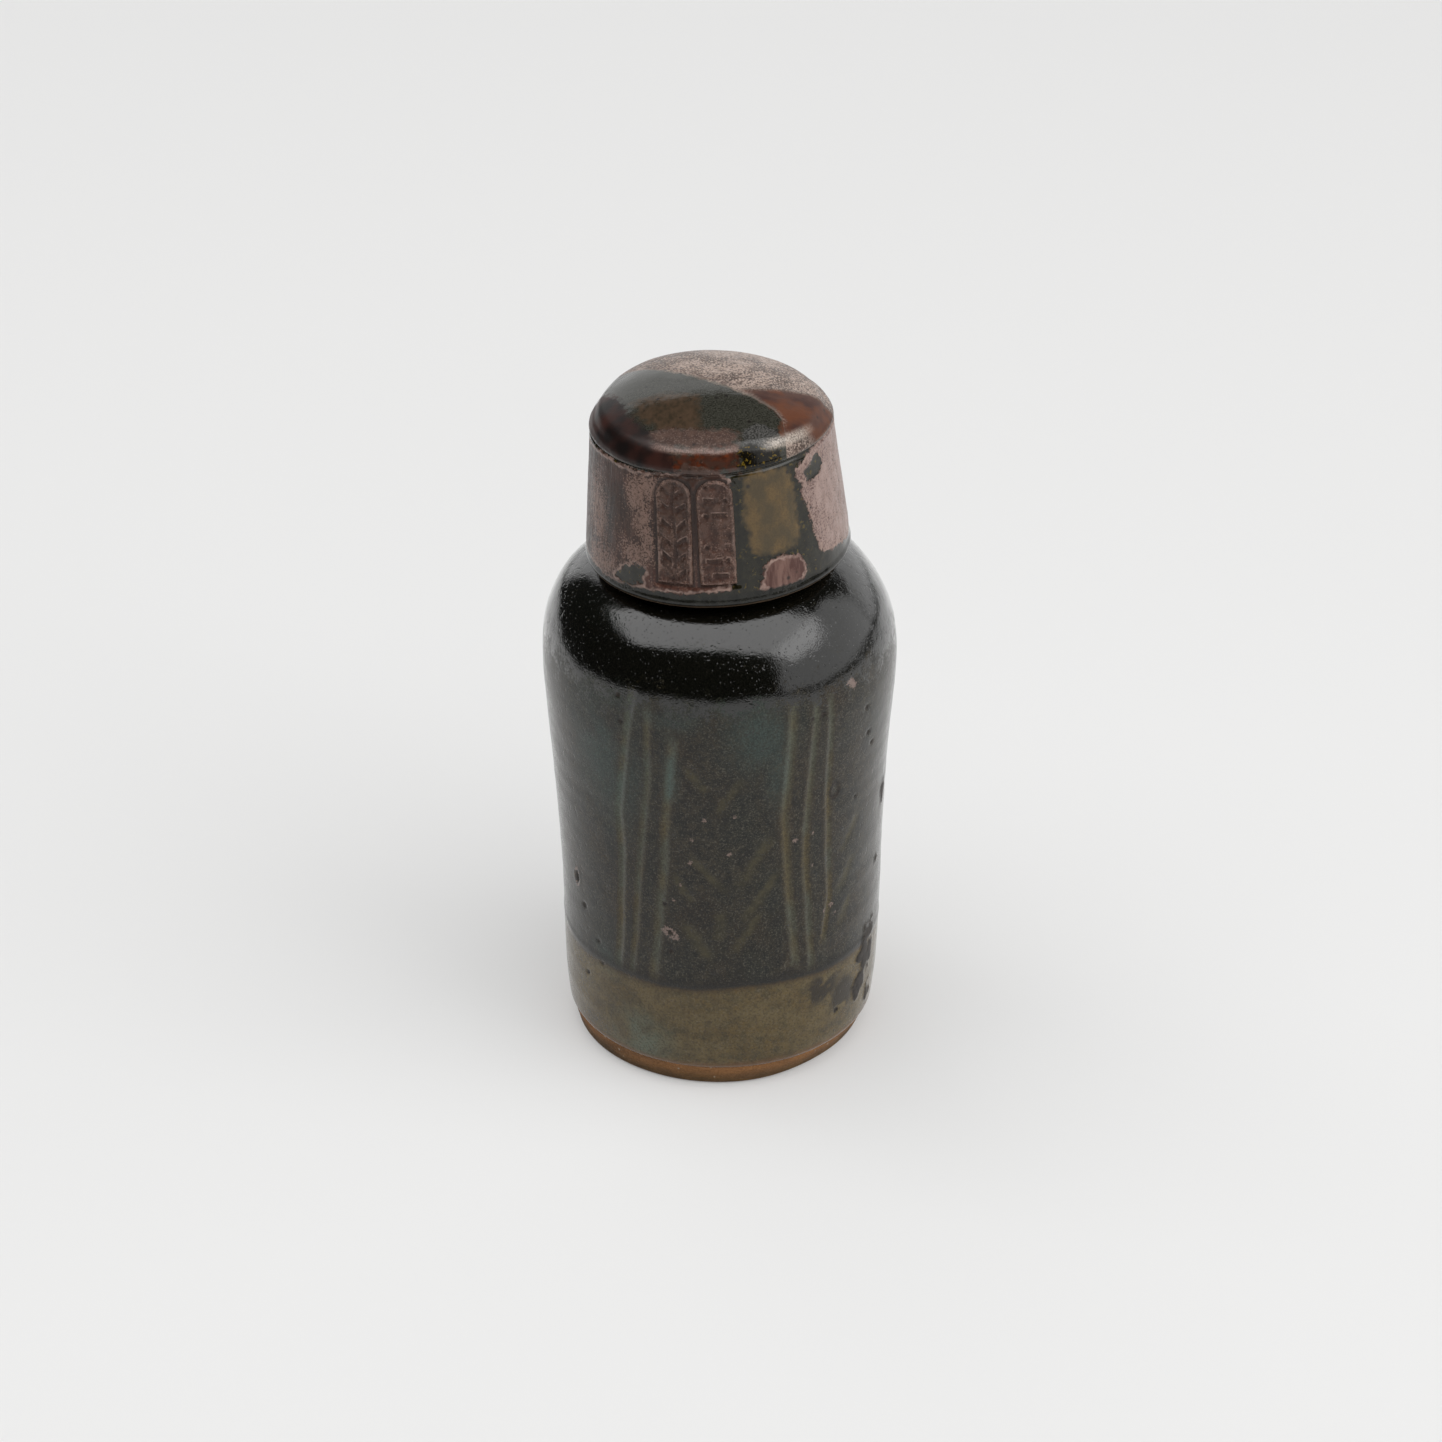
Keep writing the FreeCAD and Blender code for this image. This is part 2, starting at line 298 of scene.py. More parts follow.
def bottle_relief(az, r, z, points):
    wall = step(2, 12, z) * step(126, 116, z)
    push = 0.1 * noise(points, 26, 1) + 0.05 * noise(points * (1, 1, 2.2), 9, 2) - 0.14
    push += 0.035 * wall * noise(np.stack([0 * z, 0 * z, z + 1.2 * noise(points, 30, 4)], -1), 2.6, 3)
    push -= 0.33 * incised(az, r, z, points)
    push -= 0.07 * chevrons(az, r, z)
    push += 0.12 * step(1.6, 0, np.abs(z - slip_edge(az) - 1.2))
    push -= 0.45 * spot(az, z, r, *CHIP, 0.75, 1.9)
    push += 0.16 * spot(az, z, r, *CHIP, 1.5, 2.7) * (1 - spot(az, z, r, *CHIP, 0.9, 2.1))
    push += 0.22 * spot(az, z, r, *SCAR, 1.7, 1.3, edge=0.5) * (1 + noise(points, 0.9, 8))
    push -= 0.18 * spot(az, z, r, *RING_PIT, 1.3, 2)
    push -= 0.14 * step(-0.3, 0.4, pit_distance(az, r, z, PALE_PITS))
    push -= 0.3 * step(-0.3, 0.5, pit_distance(az, r, z, DARK_PITS))
    push += 0.3 * step(-0.3, 0.5, flakes(az, r, z, points))
    edge = step(7.4, 5.9, z)
    return push * step(5.8, 8.5, z) - GLAZE * edge * edge


def flakes(az, r, z, points):
    """Rough dark crust on the right side, as a signed distance in mm."""
    area = np.maximum.reduce([2.5 * (1 - ellipse(az, z, r, *row)) for row in FLAKES])
    return np.clip(area, -3, 1.2) - 1 + 1.5 * fractal(points, 3, 31)


def pit_distance(az, r, z, pits):
    return np.maximum.reduce([size - np.hypot(around(az, r, a), z - b) for a, b, size in pits]).clip(-2)


def bottle_masks(az, r, z, points):
    waver = fractal(points, 5, 11)
    teal = spots(az, z, r, TEAL, 0.8) * step(-0.9, 0.3, fractal(points, 6, 12))
    along = np.radians(az - SCAR[0]) * r
    scar = np.hypot(along / 1.9, (z - SCAR[1] + 0.4 * along) / 1.2) + 0.35 * noise(points, 1.1, 24)
    pale = np.maximum(pit_distance(az, r, z, PALE_PITS), 0.42 - 1.1 * np.abs(scar - 0.85))
    chip = ellipse(az, z, r, *CHIP, 0.8, 1.9)
    pale = np.maximum(pale, np.where(chip > 1, 1.6 - chip, -1))
    pale = np.maximum(pale, 0.3 - 0.5 * ellipse(az, z, r, *GRAZE, 1.2, 1.3) + 1.1 * noise(points, 1.5, 21))
    dark = np.maximum(pit_distance(az, r, z, DARK_PITS), 0.9 * (1 - chip))
    dark = np.maximum(dark, flakes(az, r, z, points))
    ring = ellipse(az, z, r, *RING_PIT, 1.4, 2.1)
    dark = np.maximum.reduce([dark, 0.4 - 1.3 * np.abs(ring - 1), 0.5 - 1.4 * scar])
    smudge = spots(az, z, r, SMUDGES)
    smudge = smudge * step(-0.6, -0.1, noise(points * (1, 1, 0.6), 3, 22) + 0.5 * noise(points, 1.2, 23))
    return {"ash": np.clip(slip_edge(az) - z + 0.35 * waver, -9, 9), "lines": line_distance(az, r, z, points),
            "teal": teal, "pale": pale, "dark": dark, "smudge": smudge, "chevron": chevrons(az, r, z),
            "gloss": step(106, 122, z + 3 * waver), "hem": step(8.6, 6.6, z + 0.7 * waver),
            "rim": step(174.2, 175.2, z)}


def bottle_outer():
    """The glaze from the foot line over shoulder, neck and lip to the mouth's edge."""
    body = smooth_curve(BODY_PROFILE, 1.85)
    body = body[body[:, 1] >= 5.6]
    neck_top = SEAT[2] + LIP_H - 1.8
    neck = neck_rows(22, LIP_H - 1.8)
    turn = np.linspace(0, PI / 2, 7)[1:]
    lip = np.stack([NECK_LIP_R - 1.8 + 1.8 * np.cos(turn), neck_top + 1.8 * np.sin(turn)], -1)
    inner = ((19.3, neck_top + 1.82), (18.6, neck_top + 1.5), (18.1, neck_top + 0.9))
    profile = np.vstack([body, neck, lip, inner])
    return grid("bottle_glaze_skin", body_place, azimuths(360), profile, bottle_relief, bottle_masks)


def inset(profile, depth):
    """The profile moved inwards along its normal."""
    profile = np.asarray(profile, float)
    along = np.gradient(profile, axis=0)
    along /= np.linalg.norm(along, axis=1, keepdims=True)
    return profile + depth * np.stack([-along[:, 1], along[:, 0]], -1)


def neck_rows(count, top_h, depth=0):
    """The neck's outside from just above the shoulder to a height above the cap's rim plane."""
    top_r = NECK_LIP_R + 1.4 * (1 - top_h / LIP_H)
    return np.linspace((23.55 - depth, 140), (top_r - depth, SEAT[2] + top_h), count)


def bottle_slip_skin():
    """The dark slip coat just under the glaze, sunk where the lines cut through it."""
    body = smooth_curve(BODY_PROFILE, 0.8)
    outside = np.vstack([body[body[:, 1] >= 31], neck_rows(12, 30)])

    def relief(*at):
        return bottle_relief(*at) - GLAZE - (SLIP - 0.05) * incised(*at)

    return grid("bottle_slip_skin", body_place, azimuths(200), outside, relief)


INNER_WALL = ((17.5, 136), (17.7, 132.6), (19.6, 130.2), (25, 128.5), (30.5, 125.4), (34.5, 121),
              (37, 115), (38.2, 107), (38, 97), (36.9, 82), (35.8, 63), (35.1, 44),
              (34.7, 25), (33.8, 16), (30, 10.6), (24, 8.4), (12, 8.1), (0.6, 8))


def bottle_clay_skin():
    """The clay: recess under the foot, resting ring, outside under the glaze, lip and inside of the wall."""
    under = ((0.4, 2.6), (10, 2.6), (20, 2.6), (24, 2.6), (26, 2.58), (28.4, 2.5), (29.2, 2.1),
             (29.9, 1), (30.3, 0.2), (30.8, 0), (32.2, 0), (33.6, 0), (35, 0), (36, 0.05), (36.6, 0.25))
    foot = smooth_curve(((37, 0.6), (37.5, 2.5), (38, 4.5), (38.5, 7.5)), 2.5)
    body = smooth_curve(BODY_PROFILE, 0.5)
    outside = inset(np.vstack([body[body[:, 1] >= 9], neck_rows(8, LIP_H - 3)]), GLAZE + SLIP + 0.1)
    lip = ((21, 173.6), (20.6, 174.3), (19.5, 174.6), (18.6, 174.2), (18.2, 173.4), (18.1, 150))
    inner = smooth_curve(INNER_WALL, 0.3)[:-2]
    profile = np.vstack([under, foot, outside, lip, inset(inner, 0.6)])

    def relief(az, r, z, points):
        foot_part = step(9.5, 7.5, z)
        wall_r = 37.5 - 22 * step(125, 140, z)
        outer_part = step(9, 12, z) * step(wall_r, wall_r + 0.3, r)
        return foot_relief(az, r, z, points) * foot_part + bottle_relief(az, r, z, points) * outer_part

    return grid("bottle_clay_body", body_place, azimuths(300), profile, relief, foot_masks, ("first", "last"))


def foot_relief(az, r, z, points):
    """Trimming marks, and a flat worn on the foot's front right."""
    side = step(0.2, 2, z) * step(36, 36.6, r)
    push = 0.07 * side * noise(points * (1, 1, 3), 2.2, 41)
    push += 0.08 * noise(points, 12, 42) * step(33, 36, r)
    push -= spot(az, z, r, 55, 0.4, 20, 3.6, edge=0.8) * step(34, 36.5, r)
    under = step(29, 27.5, r) * step(4, 3, z)
    push -= 0.06 * under * np.sin(r * 2 * PI / 3.1 + np.radians(az)) * step(0.5, 2, r)
    return push


def foot_masks(az, r, z, points):
    toast = step(1, 6, z + 0.8 * noise(points, 6, 44)) * step(36, 36.5, r)
    scorch = step(-0.2, 0.5, fractal(points * (1, 1, 2.5), 7, 43))
    return {"toast": toast, "scorch": scorch, "under": step(36.4, 35.6, r)}


def bottle_inside():
    """The liner glaze: mouth, neck, shoulder and floor, with the thrower's rings."""
    mouth = ((18.3, 174.9), (17.9, 174.3), (17.6, 173.4))
    neck = np.linspace((BORE_R, 172.5), (BORE_R, 137), 46)
    profile = np.vstack([mouth, neck, smooth_curve(INNER_WALL, 0.8)])

    def relief(az, r, z, points):
        rings = np.sin(2 * PI * z / 7.5 + np.radians(az) + 0.8 * noise(points, 14, 52))
        return 0.1 * rings * step(9, 16, z) * step(173, 168, z) + 0.06 * noise(points, 6, 51)

    def masks(az, r, z, points):
        return {"rim": step(172.8, 174.6, z)}

    return grid("bottle_liner_skin", body_place, azimuths(200, 0), profile, relief, masks, ("last",))


# ---------------- cap

def superellipse(radius, foot, top, count):
    angle = np.linspace(0, PI / 2, count)
    return np.stack([radius * np.cos(angle) ** (2 / DOME_POWER),
                     foot + (top - foot) * np.sin(angle) ** (2 / DOME_POWER)], -1)


def inside(x, y, corners):
    """Signed distance in mm, positive inside, from a closed outline."""
    pts = np.array(corners, float)
    best = np.full(x.shape, 1e9)
    within = np.zeros(x.shape, bool)
    for start, end in zip(pts, np.roll(pts, -1, axis=0)):
        best = np.minimum(best, nearest(x, y, start, end)[1])
        (ax, ay), (bx, by) = start, end
        within ^= ((ay > y) != (by > y)) & (x < (bx - ax) * (y - ay) / (by - ay + 1e-12) + ax)
    return np.where(within, best, -best)


def on_wall(az, h, corners):
    """The same for corners given as (azimuth, height) on the cap's wall."""
    return inside(np.radians(az) * 30.5, h, [(math.radians(a) * 30.5, b) for a, b in corners])


PANELS = {"cap_panel_left": -18.4, "cap_panel_right": 0.9}
PANEL_HALF, PANEL_FOOT, PANEL_TOP = 4.6, 6, 33.2

# Areas of the cap's glaze on its wall and lower dome, as corners (azimuth, height).
PINK_WALL = ((-175, 2.2), (-120, 2.2), (-64, 2.5), (-48, 2), (-33, 2.9), (-11, 3.7), (6, 4.6), (6.2, 11),
             (7, 20), (8.6, 28), (8.6, 33), (4, 35.3), (-4, 37.6), (-12, 37.8), (-16, 34.6), (-31, 34.2),
             (-60, 34.2), (-110, 31), (-150, 34.5), (-175, 20))
PINK_LOW = ((18, 3.8), (20.5, 8.4), (22.5, 10.6), (28, 11.1), (34, 10.8), (39.5, 10.2), (43, 7.8),
            (43.5, 4.6), (40, 2.8), (33, 2.4), (27, 2.6), (20, 2.9))
PINK_RIGHT = ((41.5, 31.6), (51, 33.4), (63, 34.4), (80, 34.4), (100, 33), (112, 22), (100, 8), (82, 3.5),
              (62, 5.6), (53, 6.6), (49, 13.4), (47, 20), (43, 25.4), (45, 27), (42, 29))
DARK_RIGHT = ((46, 30.2), (52, 30.4), (58, 32), (61, 29), (58, 27), (49, 26.4))
OLIVE = ((14.5, 33.2), (24, 34), (38.5, 32), (40, 24), (41, 15), (37, 12.2), (26, 11.9), (17, 14.2),
         (14.5, 22))
BLOTCH = ((-45, 7.1), (-39, 9), (-33, 8.4), (-34, 4.7), (-41, 3.4), (-50, 4))
ORANGE = ((-18, 35.4), (16, 35.2), (11.5, 36.5), (15, 37.6), (10, 39.2), (5, 39.3), (-2, 39.2), (-10, 38.6),
          (-18, 38.8))
BLACK_BAND = ((15.5, 34.4), (34, 34.4), (35, 37.4), (27, 38.5), (21, 40), (15, 39.8), (12.5, 38.8),
              (16, 37.4), (12, 36.2))

# Areas on the dome, as corners (x, y) seen from above.
DOME_GREEN_EDGE = ((-30, 19), (-20.4, 12.8), (-11.4, 6.8), (-4.3, 1.8), (0.6, -2.2), (5.4, -5.2), (8.8, -7.7),
                   (12.2, -10.5), (15.6, -12.7), (17.3, -16), (18, -24), (18.5, -40))
DOME_AREAS = {
    "brown": ((-19, -6), (-9.1, -6.1), (-2.9, -7.9), (-2.2, -12.5), (-2.2, -21.3), (-11.2, -19.5),
              (-16.4, -14.7)),
    "dark": ((-32, 6.5), (-26, 4), (-21.5, -3), (-18.9, -12.6), (-15, -18.8), (-13.4, -22.5),
             (-8.5, -26), (-8.8, -31), (-20, -30), (-32, -12)),
    "front": ((-14.4, -20.1), (-11.2, -19.5), (-2.2, -21.3), (5, -21.6), (7.6, -23.2), (5.6, -25),
              (7.2, -26.6), (-3.1, -26.6), (-13, -24)),
    # A grey satin patch, partly a painted reflection of the softbox.
    "satin": ((7.6, -21.8), (11.4, -18.5), (16.3, -20), (16.3, -22.6), (11, -25.2), (7.8, -25.7)),
    "rust": ((8, -6), (13, -4), (18, -2.6), (24, -1.6), (31, -2), (31, -12), (26, -16), (20, -19.5),
             (16.4, -21.5), (17, -16), (15.3, -12.7), (12, -10.5)),
}
# Pale bloom on the wall as (azimuth, height, half width, half height).
FROST = ((-37, 27, 3, 5), (-34, 21, 2.5, 4), (-31, 16, 2, 4), (-39, 12, 4.5, 2.5), (-16, 11, 3, 4),
         (-17, 18, 3, 5), (3, 18, 2.6, 6), (4, 10.5, 2, 3), (-62, 6, 6, 4), (-66, 18, 5, 8),
         (-30, 30, 3, 3))


def cap_zones(az, r, h, points):
    """Signed distances in mm of the areas of glaze, positive inside."""
    ragged = 0.7 * fractal(points, 6, 61) + 0.35 * noise(points, 2.2, 62)
    main, low, right, green, blotch, olive = (on_wall(az, h, corners) + ragged for corners in
                                              (PINK_WALL, PINK_LOW, PINK_RIGHT, DARK_RIGHT, BLOTCH, OLIVE))
    right = np.minimum(right, -green)
    pink = np.maximum.reduce([np.minimum(main, -blotch), low, right])
    behind = step(95, 130, np.abs(az))
    pink = pink * (1 - behind) + np.minimum(6 * fractal(points, 16, 63) + 1.5, h - 2.2) * behind
    a = np.radians(az)
    x, y = r * np.sin(a), -r * np.cos(a)
    on_dome = 2 * (h - 34.9)
    slip = 0.5 * fractal(points, 5, 64)
    edge_x, edge_y = zip(*DOME_GREEN_EDGE)
    zones = {name: np.minimum(inside(x, y, corners) + slip, on_dome) for name, corners in DOME_AREAS.items()}
    zones["matte"] = np.minimum(0.75 * (y - np.interp(x, edge_x, edge_y)) + slip, on_dome)
    zones |= {"orange": on_wall(az, h, ORANGE) + slip, "black": on_wall(az, h, BLACK_BAND) + slip,
              "pink": pink, "olive": olive}
    return {"low": low, "right": right, **{name: np.clip(value, -4, 4) for name, value in zones.items()}}


# How far the dome stands out of a plain one, as (height, mm): a flatter top, then a tighter ridge.
DOME_SWELL = ((34.6, 0), (35.6, 0.08), (36.6, 0.05), (37.6, 0.1), (38.6, 0.28), (39.5, 0.45), (40.3, 0.4),
              (41, 0.2), (42, -0.05), (43.1, -0.3), (43.8, -0.35), (44.5, -0.3), (45.4, -0.12))


def cap_profile():
    wall = np.linspace((CAP_RIM_R - 0.07, RIM_GLAZE_H), (CAP_TOP_R + 0.12, CAP_WALL_H - 1.4), 78)
    groove = np.array(((0.02, -1.1), (-0.3, -0.8), (-0.5, -0.5), (-0.3, -0.2))) + (CAP_TOP_R, CAP_WALL_H)
    dome = superellipse(CAP_TOP_R + 0.2, CAP_WALL_H, CAP_H, 400)
    length = np.r_[0, np.cumsum(np.hypot(*np.diff(dome, axis=0).T))]
    even = np.linspace(0.25, length[-1] - 0.4, 78)
    dome = np.stack([np.interp(even, length, dome[:, 0]), np.interp(even, length, dome[:, 1])], -1)
    edge = ((CAP_RIM_R - 0.62, RIM_GLAZE_H + 0.1), (CAP_RIM_R - 0.25, RIM_GLAZE_H - 0.15))
    return np.vstack([edge, wall, groove, dome])


def panel_distance(az, r, h, centre):
    """Signed distance in mm inside one arched panel's outline."""
    arch = PANEL_HALF - np.hypot(around(az, r, centre), np.maximum(h - PANEL_TOP + PANEL_HALF, 0))
    return np.minimum(arch, h - PANEL_FOOT)


def dome_dent(az, r, h):
    """The dome sank a little at the back right and at the left."""
    right = 1.2 * spot(az, r, 24, 122, 24, 22, 9, edge=0.9)
    return (right + 0.5 * spot(az, r, 24, -95, 27, 14, 5, edge=0.9)) * step(36, 38, h)


def cap_relief(az, r, h, points):
    wall = step(35, 33, h)
    push = 0.18 * noise(points * (1, 1, 0.6), 22, 71) + 0.05 * noise(points * (1, 1, 0.25), 3.2, 72) * wall
    push += 0.06 * noise(points, 5, 73)
    push += 0.2 * step(2.8, 1.2, h) * step(0.6, 1.2, h)
    pink = cap_zones(az, r, h, points)["pink"]
    raised = step(-0.2, 0.5, pink) + 0.6 * step(1.1, 0.2, np.abs(pink))
    push += 0.09 * raised * wall * step(2, 4, h)
    fade = step(-36, -30, az) * step(70, 50, az)
    push += (0.35 - 0.3 * fade) * step(1.1, 0.3, np.abs(h - (CAP_WALL_H - 0.6)))
    swell = smooth_curve(DOME_SWELL, 12)
    front = step(115, 70, np.abs(az))
    push += np.interp(h, swell[:, 0], swell[:, 1]) * step(34, 35, h) * (0.35 + 0.65 * front)
    push -= 0.08 * step(44, 46, h)
    push -= 0.5 * (1 - step(85, 50, np.abs(az))) * step(34.8, 36, h) * step(41, 38.5, h)
    push -= dome_dent(az, r, h)
    for centre in PANELS.values():
        d = panel_distance(az, r, h, centre)
        push -= (0.45 + np.maximum(push, 0)) * step(-0.1, 0.5, d)
        push -= 0.22 * step(0.7, 0.1, np.abs(d + 0.35))
        push += 0.18 * step(0.7, 0.1, np.abs(d + 1.15)) * step(-1.9, -1, d)
    return push


def cap_masks(az, r, h, points):
    zones = cap_zones(az, r, h, points)
    frost = np.maximum(spots(az, h, r, FROST, 0.9), 0.9 * step(-2, 3, zones["right"]))
    near = np.maximum.reduce([panel_distance(az, r, h, centre) for centre in PANELS.values()])
    # Painted highlight: a pale pink line along the front of the dome's ridge.
    ridge = step(0.75, 0.1, np.abs(h - 39.5 - 0.25 * noise(points, 4, 68)))
    ridge *= step(-33, -26, az) * step(16, 12, az)
    # Painted highlight with pale frost: a whitish band along the right of the dome's ridge.
    glare = step(1.4, 0.2, np.abs(h - 38.5 - 0.02 * (55 - az))) * step(24, 34, az) * step(64, 47, az)
    side = step(-1, 1, zones.pop("right"))
    return {**zones, "frost": frost, "side": side, "ridge": 0.7 * ridge, "glare": glare,
            "dome": step(CAP_WALL_H - 0.5, CAP_WALL_H + 0.3, h),
            "groove": step(0.55, 0.1, np.abs(near + 0.15)),
            "red": spot(az, h, r, -14, 5.6, 11, 2.8, edge=0.5),
            "streak": spot(az, h, r, -55.5, 19, 2.6, 11, edge=0.8),
            "rim": 2.6 + 0.9 * step(-60, -10, az) * step(60, 20, az) - h}


def cap_outer():
    return grid("cap_glaze_skin", cap_place, azimuths(440), cap_profile(), cap_relief, cap_masks, ("last",))


def cap_clay_skin():
    """The cap's clay: ceiling, inner wall, bare rim, outside under the glaze."""
    inner = ((0.4, 40.7), (10, 40.7), (20.8, 40.7), (23.6, 39.8), (25.2, 37), (25.6, 33), (27.4, 17),
             (28.6, 3))
    rim = ((28.75, 1.2), (28.85, 0.7), (28.95, 0.3), (29.3, 0.03), (30, 0), (30.8, 0), (31.5, 0.04),
           (31.95, 0.3), (32.05, 0.7), (31.9, 1.1), (31.6, 1.5))
    outside = ((31.3, 4), (29.9, 18), (28.3, 32.6), (27.7, 34))
    dome = superellipse(CAP_TOP_R - 1.6, CAP_WALL_H, CAP_H - 1.9, 14)[:-1]
    profile = np.vstack([inner, rim, outside, dome])

    def relief(az, r, h, points):
        return 0.06 * noise(points, 3, 81) * step(2, 0.8, h) * step(29, 29.6, r)

    return grid("cap_clay_body", cap_place, azimuths(300), profile, relief, close=("first", "last"))


def cap_inside():
    """The glaze inside the cap, with throwing rings and a small spiral on the ceiling."""
    ceiling = np.linspace((0.5, CEILING_H), (CAP_IN_TOP_R - 4, CEILING_H), 30)
    turn = np.linspace(0, PI / 2, 10)[1:]
    bend = np.stack([CAP_IN_TOP_R - 4 + 4 * np.sin(turn), CEILING_H - 4 + 4 * np.cos(turn)], -1)
    wall = np.linspace((CAP_IN_TOP_R + 0.1, CEILING_H - 4.6), (CAP_IN_RIM_R - 0.05, 1.2), 56)
    edge = ((CAP_IN_RIM_R + 0.1, 0.85), (CAP_IN_RIM_R + 0.5, 0.75))
    profile = np.vstack([ceiling, bend, wall, edge])

    def relief(az, r, h, points):
        rings = np.sin(2 * PI * h / 6 + np.radians(az) + noise(points, 12, 83))
        rings *= step(35, 30, h) * step(2, 6, h)
        spiral = np.sin(2 * PI * r / 5 + np.radians(az)) * step(39, 40, h) * step(2, 5, r) * step(19, 15, r)
        return 0.09 * rings - 0.06 - 0.06 * spiral * step(24, 20, r) + 0.04 * noise(points, 5, 82)

    def masks(az, r, h, points):
        return {"rim": step(3, 1.2, h + 0.4 * noise(points, 5, 84))}

    return grid("cap_liner_skin", cap_place, azimuths(220, 0), profile, relief, masks, ("first",))


def strokes_left(x, y):
    """Depth mask of a plain leaf-vein pattern: a stem with slanting strokes."""
    stem = step(0.75, 0.3, np.abs(x + 0.3 * np.sin(y / 3)))
    slant = (y - 0.75 * np.abs(x)) / 4.2
    veins = step(0.26, 0.1, np.abs(slant - np.round(slant)))
    return np.maximum(stem, veins * step(0.5, 0.9, np.abs(x)) * step(3.4, 2.8, np.abs(x)))


def strokes_right(x, y):
    """Depth mask of a plain pattern of stacked short bars and dots."""
    row = y / 3.9
    n = np.round(row)
    side = np.where(n % 2 == 0, 1, -1)
    bar = step(0.27, 0.12, np.abs(row - n)) * step(2.2, 1.7, np.abs(x + 0.7 * side))
    dot = step(0.85, 0.4, np.hypot(x - 2.4 * side, (row - n) * 3.9))
    return np.maximum(bar, dot)


def cap_panel(name, centre, strokes, seed):
    """One arched pad pressed on the cap, with a low stamped pattern."""
    spring = PANEL_TOP - PANEL_HALF
    arch = spring + PANEL_HALF * np.sin(np.linspace(0, PI / 2, 32)[1:] * 0.995)
    h = np.r_[np.linspace(PANEL_FOOT, spring, 110), arch]
    half = np.where(h <= spring, PANEL_HALF, np.sqrt(np.maximum(PANEL_HALF**2 - (h - spring) ** 2, 0)))
    u = np.sin(np.linspace(-PI / 2, PI / 2, 52))
    x = half[:, None] * u[None, :]
    hh = np.broadcast_to(h[:, None], x.shape)
    r = np.interp(hh, (0, CAP_WALL_H), (CAP_RIM_R, CAP_TOP_R))
    az = centre + np.degrees(x / r)
    points = cap_place(az, r, hh)
    d = np.minimum(PANEL_HALF - np.hypot(x, np.maximum(hh - spring, 0)), hh - PANEL_FOOT)
    wander = np.stack([x + 0.35 * noise(points, 2.4, seed), hh + 0.35 * noise(points, 2.4, seed + 1)])
    worn = step(-0.75, 0.1, noise(points, 3, seed + 2)) * step(0.6, 1.2, d)
    sunk = strokes(wander[0], wander[1] - 20) * worn
    lift = -0.5 + 0.72 * step(-0.05, 0.75, d) + 0.12 * step(1.3, 0.5, d) * step(0.1, 0.5, d)
    lift = lift + 0.15 * noise(points, 1.9, seed + 3) + 0.08 * noise(points, 0.9, seed + 4) - 0.34 * sunk
    vertices = cap_place(az, r + lift, hh).reshape(-1, 3)
    index = np.arange(x.size).reshape(x.shape)
    low, high = index[:-1], index[1:]
    faces = np.stack([low[:, :-1], low[:, 1:], high[:, 1:], high[:, :-1]], -1).reshape(-1, 4).tolist()
    near_stroke = step(0, 0.5, strokes(wander[0] * 0.93, wander[1] - 20.4)) * (1 - sunk) * worn
    patchy = step(-0.6, 0.5, noise(points, 2.6, seed + 5))
    frost = 0.85 * np.maximum(near_stroke, 0.6 * step(1.6, 0.6, d)) + 0.3 * step(26, 10, hh) * patchy
    attributes = {"sunk": sunk, "frost": frost, "groove": step(0.25, -0.05, d),
                  "red": 0.9 * step(11, 6.5, hh + 2 * noise(points, 4, seed))}
    return make_piece(name, vertices, faces, attributes)


# ---------------- materials

